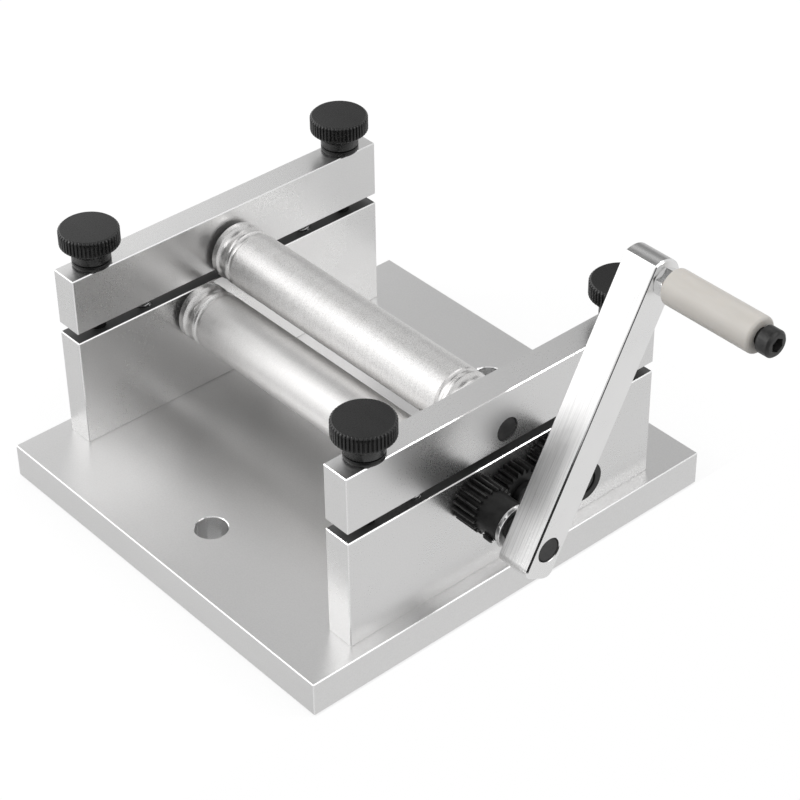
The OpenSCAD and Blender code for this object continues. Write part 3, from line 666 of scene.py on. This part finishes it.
# Bare aluminium: repeats per metre of its clouds and specks, relief in metres, warmth and tones
CLOUDS, SPECKS = 38, 2100
CUT_RELIEF = 0.000002
CUT_WARMTH = 0.004
# Tones of cut edges, part fresh metal and part painted highlight, and of painted shade in the gap between
# plate and bar
EDGE_METAL_AND_HIGHLIGHT_TONE, GAP_SHADE_TONE = 0.92, 0.2
# How nearly a surface faces along an axis: on a flat face, and on a rounded edge
FLAT, ROUNDED = 0.98, 0.9
# How far light passes into pale plastic, in metres, for red, green and blue
LIGHT_REACH = (0.002, 0.0017, 0.0014)


def cut_roughness(rough, specks, clouds, edge):
    """Roughness of cut aluminium, uneven by its specks and clouds and less at its edges."""
    uneven, edge_polish = 0.06, 0.45
    return (rough - uneven + uneven * specks + uneven * clouds) * (1 - edge_polish * edge)


def machined_aluminium(name, rough, tone, gap_shade_heights=None):
    """Bare milled aluminium: mottled, clouded, and bright at its cut edges, part fresh metal and part
    painted highlight.

    With its last argument, two heights in metres, level faces go from milled at the first to dark and
    duller at the second: painted shade in the gap between plate and bar.
    """
    material, s = finish(name)
    clouds = s.noise(CLOUDS, detail=4.0)
    specks = s.noise(SPECKS)
    facing = s.add("VectorMath", {"operation": "ABSOLUTE"}, {0: s.add("TexCoord", out="Normal")})
    x, y, z = s.split(facing)
    edge = s.ramp(x | y | z, FLAT, ROUNDED)
    tint = s.mix(grey(tone * 0.95, CUT_WARMTH), grey(tone * 1.05, CUT_WARMTH), specks * 0.7 + clouds * 0.3)
    # Cut edges brighter: part fresh metal, part painted highlight
    tint = s.mix(tint, grey(EDGE_METAL_AND_HIGHLIGHT_TONE), edge)
    roughness = cut_roughness(rough, specks, clouds, edge)
    # Painted shade in the gap between plate and bar: level faces there turn dark, and duller
    if gap_shade_heights:
        height = s.split(s.add("TexCoord", out="Object"))[2]
        gap_shade = s.ramp(height, *gap_shade_heights) * s.ramp(z, ROUNDED, FLAT)
        tint = s.mix(tint, grey(GAP_SHADE_TONE), gap_shade)
        roughness = roughness + 0.25 * gap_shade
    s.surface({"Base Color": tint, "Roughness": roughness, "Metallic": 0.95}, specks, CUT_RELIEF)
    return material


def filed_aluminium(name, angle, rough, tone, streak):
    """Filed bar at an angle in degrees from +Y to +Z: fine streaks, painted shade on its ends, cut edges
    brighter as fresh metal and as painted highlight.
    """
    material, s = finish(name)
    turn = (-math.radians(angle), 0, 0)
    lines = s.noise((4000, 40, 4000), turn, rough=0.7)
    clouds = s.noise(CLOUDS, detail=4.0)
    specks = s.noise(SPECKS)
    normal = s.add("TexCoord", out="Normal")
    facing = s.add("Mapping", {"vector_type": "VECTOR"}, {"Vector": normal, "Rotation": turn})
    across, along, _ = s.split(s.add("VectorMath", {"operation": "ABSOLUTE"}, {0: facing}))
    # Cut edges brighter: part fresh metal, part painted highlight
    edge = s.ramp(across, 0.2, 0.5) * s.ramp(across, FLAT, ROUNDED)
    streaks = streak * s.ramp(lines, 0.3, 0.9) * (1 - across)
    # The faces that look along the arm, its ends, get painted shade
    level = 0.97 + 0.06 * clouds - streaks - 0.2 * s.ramp(along, 0.6, 1.0)
    streaked_and_end_shaded = s.add("VectorMath", {"operation": "SCALE"}, {0: grey(tone, CUT_WARMTH), "Scale": level})
    s.surface({"Base Color": s.mix(streaked_and_end_shaded, grey(EDGE_METAL_AND_HIGHLIGHT_TONE), edge),
               "Roughness": cut_roughness(rough, specks, clouds, edge), "Metallic": 1.0},
              specks + streak * lines, CUT_RELIEF)
    return material


def blasted_steel(name, rough, tone, contrast, grain_height):
    """Roller surface: fine blasted grain that sparkles, over faint turning lines round the roller."""
    material, s = finish(name)
    grain = s.noise(3200, detail=1.0, rough=0.6)
    patches = s.noise(220)
    lines = s.noise((3200, 25, 25), detail=2.0)
    mixed = grain * 0.7 + patches * 0.1 + lines * 0.2
    tint = s.mix(grey(tone * (1 - contrast), 0.012), grey(tone * (1 + contrast), 0.008), mixed)
    s.surface({"Base Color": tint, "Roughness": rough - 0.1 + 0.2 * mixed, "Metallic": 1.0},
              grain * 0.8 + lines * 0.2, grain_height)
    return material


def black_oxide(name, tone=0.022, rough=0.42, metal=0.4):
    """Oil-blacked steel: dark, satin, slightly blotchy."""
    material, s = finish(name)
    blots = s.noise(420, detail=4.0)
    grain = s.noise(2400, detail=2.0)
    s.surface({"Base Color": s.mix(grey(tone * 0.7), grey(tone * 1.4, 0.01), blots),
               "Roughness": rough - 0.07 + 0.14 * blots, "Metallic": metal, "Specular IOR Level": 0.4},
              grain, 0.000004)
    return material


def moulded_plastic(name, low, high, rough, relief, shine=0.5, glow=0.0):
    """Moulded plastic with a fine sparked texture; a little light passes into a pale one."""
    material, s = finish(name)
    texture = s.noise(1700, detail=2.0)
    flow = s.noise((70, 260, 260), detail=2.0)
    s.surface({"Base Color": s.mix(low, high, flow), "Roughness": rough - 0.05 + 0.1 * texture,
               "Specular IOR Level": shine, "Subsurface Weight": glow, "Subsurface Radius": LIGHT_REACH},
              texture, relief)
    return material


def bright_metal(name, tone, rough):
    """Plated or drawn metal with faint handling marks."""
    material, s = finish(name)
    marks = s.noise(600, detail=4.0)
    s.surface({"Base Color": s.mix(grey(tone * 0.9), grey(tone * 1.08), marks),
               "Roughness": rough - 0.05 + 0.1 * marks, "Metallic": 1.0}, marks, 0.000003)
    return material


# Between these heights the plates' tops and the bars' undersides get painted shade in the gap
plate_finish = machined_aluminium("plate_aluminium", rough=0.3, tone=0.8, gap_shade_heights=(0.0500, 0.0505))
bar_finish = machined_aluminium("bar_aluminium", rough=0.3, tone=0.8, gap_shade_heights=(0.0553, 0.0548))
base_finish = machined_aluminium("base_aluminium", rough=0.34, tone=0.8)
arm_finish = filed_aluminium("arm_aluminium", CRANK_ANGLE, rough=0.3, tone=0.92, streak=0.2)
top_roller_finish = blasted_steel("blasted_roller_steel", 0.46, 0.86, 0.28, 0.00004)
low_roller_finish = blasted_steel("satin_roller_steel", 0.46, 0.86, 0.1, 0.00001)
end_finish = blasted_steel("turned_roller_end", 0.32, 0.86, 0.12, 0.00001)
black_finish = black_oxide("black_oxide")
screw_finish = black_oxide("black_screw", tone=0.045, rough=0.36)
shaft_finish = black_oxide("black_shaft", tone=0.05, rough=0.46)
rubbed_finish = black_oxide("rubbed_tooth_edge", tone=0.16, rough=0.3, metal=1.0)
knob_finish = moulded_plastic("black_knob_plastic", grey(0.006), grey(0.01), 0.27, 0.000006, shine=0.4)
knob_edge_finish = moulded_plastic("polished_knob_edge", grey(0.008), grey(0.012), 0.16, 0.000003,
                                   shine=0.6)
washer_finish = moulded_plastic("black_washer_plastic", grey(0.012), grey(0.02), 0.5, 0.000006)
sleeve_finish = moulded_plastic("pale_sleeve_plastic", (0.61, 0.583, 0.543), (0.65, 0.62, 0.58),
                                0.34, 0.000003, glow=0.2)
zinc_finish = bright_metal("bright_zinc", 0.84, 0.14)
wire_finish = bright_metal("spring_wire", 0.55, 0.24)

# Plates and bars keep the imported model's own shapes
DRESSED = {"base_plate": base_finish, "left_side_plate": plate_finish, "right_side_plate": plate_finish,
           "left_bar": bar_finish, "right_bar": bar_finish}
for node, skin in DRESSED.items():
    for material_slot in frame["nodes"][node].material_slots:
        material_slot.material = skin


# Rollers, with their shafts and thrust washers
AXES = {"front": (FRONT * LOW_AXIS_Y, LOW_AXIS_Z), "rear": (BACK * LOW_AXIS_Y, LOW_AXIS_Z),
        "top": (0, TOP_AXIS_Z)}
for name, (y, z) in AXES.items():
    skin = top_roller_finish if name == "top" else low_roller_finish
    barrel = placed(roller(), along_x(-ROLLER_LENGTH / 2, y, z))
    ridden(name + "_roller", barrel, skin, end_finish, sharp=24)
    shaft = softened(turned(rod(SHAFT_R, SHAFT_END_X[name] - SHAFT_START_X, END_CHAMFER), 72), TURNED_EDGE)
    ridden(name + "_shaft", placed(shaft, along_x(SHAFT_START_X, y, z)), shaft_finish)
    ridden(name + "_thrust_washers", joined(
        placed(washer(THRUST_R, SHAFT_R + FIT, THRUST_T, THRUST_EDGE), along_x(x, y, z))
        for x in (-ROLLER_LENGTH / 2 - THRUST_T, ROLLER_LENGTH / 2)), washer_finish)

# Gear train
drop = LOW_AXIS_Z - IDLER_Z
to_idler = math.degrees(math.atan2(-drop, LOW_AXIS_Y))
idler_phase = meshed(DRIVE_PHASE, GEAR_TEETH, IDLER_TEETH, to_idler)
driven_phase = meshed(idler_phase, IDLER_TEETH, GEAR_TEETH, -to_idler)
for name, end, phase, angle in (("drive", FRONT, DRIVE_PHASE, DRIVE_GRUB_ANGLE),
                                ("driven", BACK, driven_phase, DRIVEN_GRUB_ANGLE)):
    y = end * LOW_AXIS_Y
    ridden(name + "_gear", placed(hub_gear(phase, angle), along_x(GEAR_X, y, LOW_AXIS_Z)),
           black_finish, rubbed_finish)
    length = HUB_R + GRUB_PROUD - SHAFT_R - FIT
    seat = outward(HUB_END_X - HUB_LENGTH / 2, y, LOW_AXIS_Z, angle) @ shift(0, 0, SHAFT_R + FIT)
    ridden(name + "_grub", placed(grub(length), seat), black_finish)
idler = gear(IDLER_TEETH, IDLER_FACE, IDLER_BORE_R, idler_phase)
ridden("idler_gear", placed(idler, along_x(GEAR_X, 0, IDLER_Z)), black_finish, black_finish)
ridden("idler_stud", placed(idler_stud(), along_x(PLATE_OUTSIDE - IDLER_THREAD_END, 0, IDLER_Z)),
       black_finish)

# Crank and handle
ridden("arm_washer", placed(washer(WASHER_R, SHAFT_R + FIT, WASHER_T, WASHER_EDGE),
                            along_x(HUB_END_X, FRONT * LOW_AXIS_Y, LOW_AXIS_Z)), zinc_finish)
ridden("crank_arm", placed(arm(), on_crank(ARM_X)), arm_finish)
arm_grub_length = ARM_TAIL - SHAFT_R - ARM_GRUB_RECESS
seat = on_crank(ARM_X) @ shift(-SHAFT_R - FIT, 0, ARM_T / 2) @ rotation(-90, "Y")
ridden("arm_grub", placed(grub(arm_grub_length), seat), black_finish)
at_handle = on_crank(0) @ shift(ARM_LENGTH, 0, 0)
for node, shape, x, skin in (("handle_screw", handle_screw(), SCREW_TIP_X, screw_finish),
                             ("handle_nut", nut(), ARM_END_X, zinc_finish),
                             ("handle_sleeve", sleeve(), SLEEVE_X, sleeve_finish)):
    ridden(node, placed(shape, at_handle @ shift(0, 0, x)), skin)

# Thumb screws and lift springs
for side, way in SIDES.items():
    for end, toward in ENDS.items():
        corner = f"{side}_{end}"
        x, y = way * PLATE_MIDDLE, toward * STUD_Y
        grip = placed(knob(), shift(x, y, BAR_TOP_Z))
        ridden("knob_" + corner, grip, knob_finish, knob_edge_finish, sharp=50)
        stud = placed(threaded(SCREW_R, SCREW_PITCH, STUD_LENGTH + STUD_IN_KNOB),
                      shift(x, y, BAR_TOP_Z - STUD_LENGTH))
        ridden("stud_" + corner, stud, black_finish)
        y = toward * SPRING_Y
        spring = show("spring_" + corner, placed(lift_spring(), shift(x, y, 0)), wire_finish)
        x * MM
        y * MM
        x * MM
        y * MM
        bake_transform(spring)

# Screws that hold the side plates, heads down in the base
ridden("base_screws", joined(
    placed(base_screw(), shift(way * PLATE_MIDDLE, toward * BASE_SCREW_Y, BASE_SCREW_Z))
    for way in SIDES.values() for toward in ENDS.values()), black_finish)


# Studio

def white_where_seen(s):
    """1 for rays from the camera and for mirrored and refracted ones."""
    kinds = ("Is Camera Ray", "Is Glossy Ray", "Is Transmission Ray")
    seen, mirrored, refracted = [s.add("LightPath", out=kind) for kind in kinds]
    return seen | mirrored | refracted


# The floor ends at the base's right edge, like a bench top, so that the crank can swing below it
FLOOR_Z = -0.0004
FLOOR_REACH = 1.5
BENCH_EDGE_X = 0.0752
# The floor glows where it is seen, and stops between these distances, just inside the base's edges
GLOW_END_X, GLOW_END_Y = (0.0742, 0.0746), (0.0792, 0.0796)
FLOOR_GLOW = 0.75
half_width = (BENCH_EDGE_X + FLOOR_REACH) / 2
bm = bmesh.new()
bmesh.ops.create_grid(bm, x_segments=1, y_segments=1, size=1.0)
placed(bm, shift((BENCH_EDGE_X - FLOOR_REACH) / 2, 0, FLOOR_Z)
       @ Matrix.Diagonal((half_width, FLOOR_REACH, 1, 1)))
mesh = bpy.data.meshes.new("studio_floor")
bm.to_mesh(mesh)
bm.free()
floor_finish, s = finish("white_floor")
spread = s.add("VectorMath", {"operation": "ABSOLUTE"}, {0: s.add("TexCoord", out="Object")})
spread_x, spread_y, _ = s.split(spread)
clear_of_base = s.ramp(spread_x, *GLOW_END_X) | s.ramp(spread_y, *GLOW_END_Y)
painted = s.add("BsdfDiffuse", (), {"Color": (0.9, 0.9, 0.9, 1)})
glow_tint = s.mix(grey(0.64), grey(1.05), s.add("LightPath", out="Is Camera Ray"))
glowing = s.add("Emission", (), {"Color": glow_tint})
share = FLOOR_GLOW * white_where_seen(s) * clear_of_base
s.add("OutputMaterial", (), {"Surface": s.add("MixShader", (), {0: share, 1: painted, 2: glowing})})
mesh.materials.append(floor_finish)
floor = bpy.data.objects.new("studio_floor", mesh)
bpy.context.scene.collection.objects.link(floor)

# Camera at the photograph's angle: image 800 by 800
CAMERA_AT = Vector((0.4772736, -0.3943304, 0.4994945))
AZIMUTH, ELEVATION, ROLL = math.radians(49.0909), math.radians(37.0959), math.radians(-0.7528)
LENS = 110.354
level = math.cos(ELEVATION)
back = Vector((math.sin(AZIMUTH) * level, -math.cos(AZIMUTH) * level, math.sin(ELEVATION)))
across = (-back).cross(Vector((0, 0, 1))).normalized()
upward = across.cross(-back)
rolled = across * math.cos(ROLL) + upward * math.sin(ROLL)
upward = -across * math.sin(ROLL) + upward * math.cos(ROLL)
lens = bpy.data.cameras.new("camera")
lens.lens, lens.sensor_width, lens.sensor_fit = LENS, 36.0, "HORIZONTAL"
lens.clip_start, lens.clip_end = 0.01, 20.0
camera = bpy.data.objects.new("camera", lens)
aim = Matrix((rolled, upward, back)).transposed().to_4x4()
camera.matrix_world = Matrix.Translation(CAMERA_AT) @ aim
bpy.context.scene.collection.objects.link(camera)
bpy.context.scene.camera = camera

# Soft boxes, each as (place, size in metres, watts)
MACHINE_MIDDLE = Vector((0.02, 0, 0.04))
SOFT_BOXES = {
    "key_soft_box": ((-0.77, -0.74, 0.56), 1.6, 4.2),
    "key_lamp": ((-0.47, -0.72, 0.62), 0.11, 0.4),
    "rim_lamp": ((0.68, 0.56, 0.68), 0.11, 0.25),
}
for name, (at, size, watts) in SOFT_BOXES.items():
    lamp = bpy.data.lights.new(name, "AREA")
    lamp.shape, lamp.size, lamp.energy = "SQUARE", size, watts
    box = bpy.data.objects.new(name, lamp)
    box.location = at
    box.rotation_mode = "QUATERNION"
    box.rotation_quaternion = (MACHINE_MIDDLE - Vector(at)).to_track_quat("-Z", "Y")
    bpy.context.scene.collection.objects.link(box)

# Brighter and darker parts of the room as the metal mirrors them, each as (direction, cosine of the
# angle from it where the part begins, cosine where it is full, level)
ROOM_PARTS = (
    ((0.76, 0.28, 0.59), 0.93, 0.99, 1.4),
    ((-0.8, 0.18, 0.57), 0.91, 0.99, 1.2),
    ((-0.58, 0.74, 0.33), 0.93, 0.985, 0.25),
    ((-0.5, 0.06, 0.864), 0.88, 0.97, 0.12),
    ((0.75, -0.66, 0.05), 0.8, 0.92, 0.02),
)
# Room: white to the camera, pale with its parts and a white left side in the metal, lit from above
world = bpy.data.worlds.new("studio")
bpy.context.scene.world = world
s = Shading(world)
direction = s.add("TexCoord", out="Generated")
rightward, _, height = s.split(direction)
room = s.mix(grey(0.74), grey(0.66), s.ramp(height, -0.1, 0.8))
room = s.mix(room, grey(1.0), s.ramp(rightward, -0.5, -0.8))
for toward, begin, full, level in ROOM_PARTS:
    nearness = s.add("VectorMath", {"operation": "DOT_PRODUCT"}, {0: direction, 1: toward}, out="Value")
    room = s.mix(room, grey(level), s.ramp(nearness, begin, full))
shown_room = s.mix(room, grey(1.0), s.add("LightPath", out="Is Camera Ray"))
lighting = s.add("Background", (), {"Color": s.mix(grey(0.12), grey(0.92), s.ramp(height, -0.3, 0.3))})
shown = s.add("Background", (), {"Color": shown_room, "Strength": 1.0})
share = white_where_seen(s)
s.add("OutputWorld", (), {"Surface": s.add("MixShader", (), {0: share, 1: lighting, 2: shown})})

bpy.context.scene.view_settings.view_transform = "Standard"
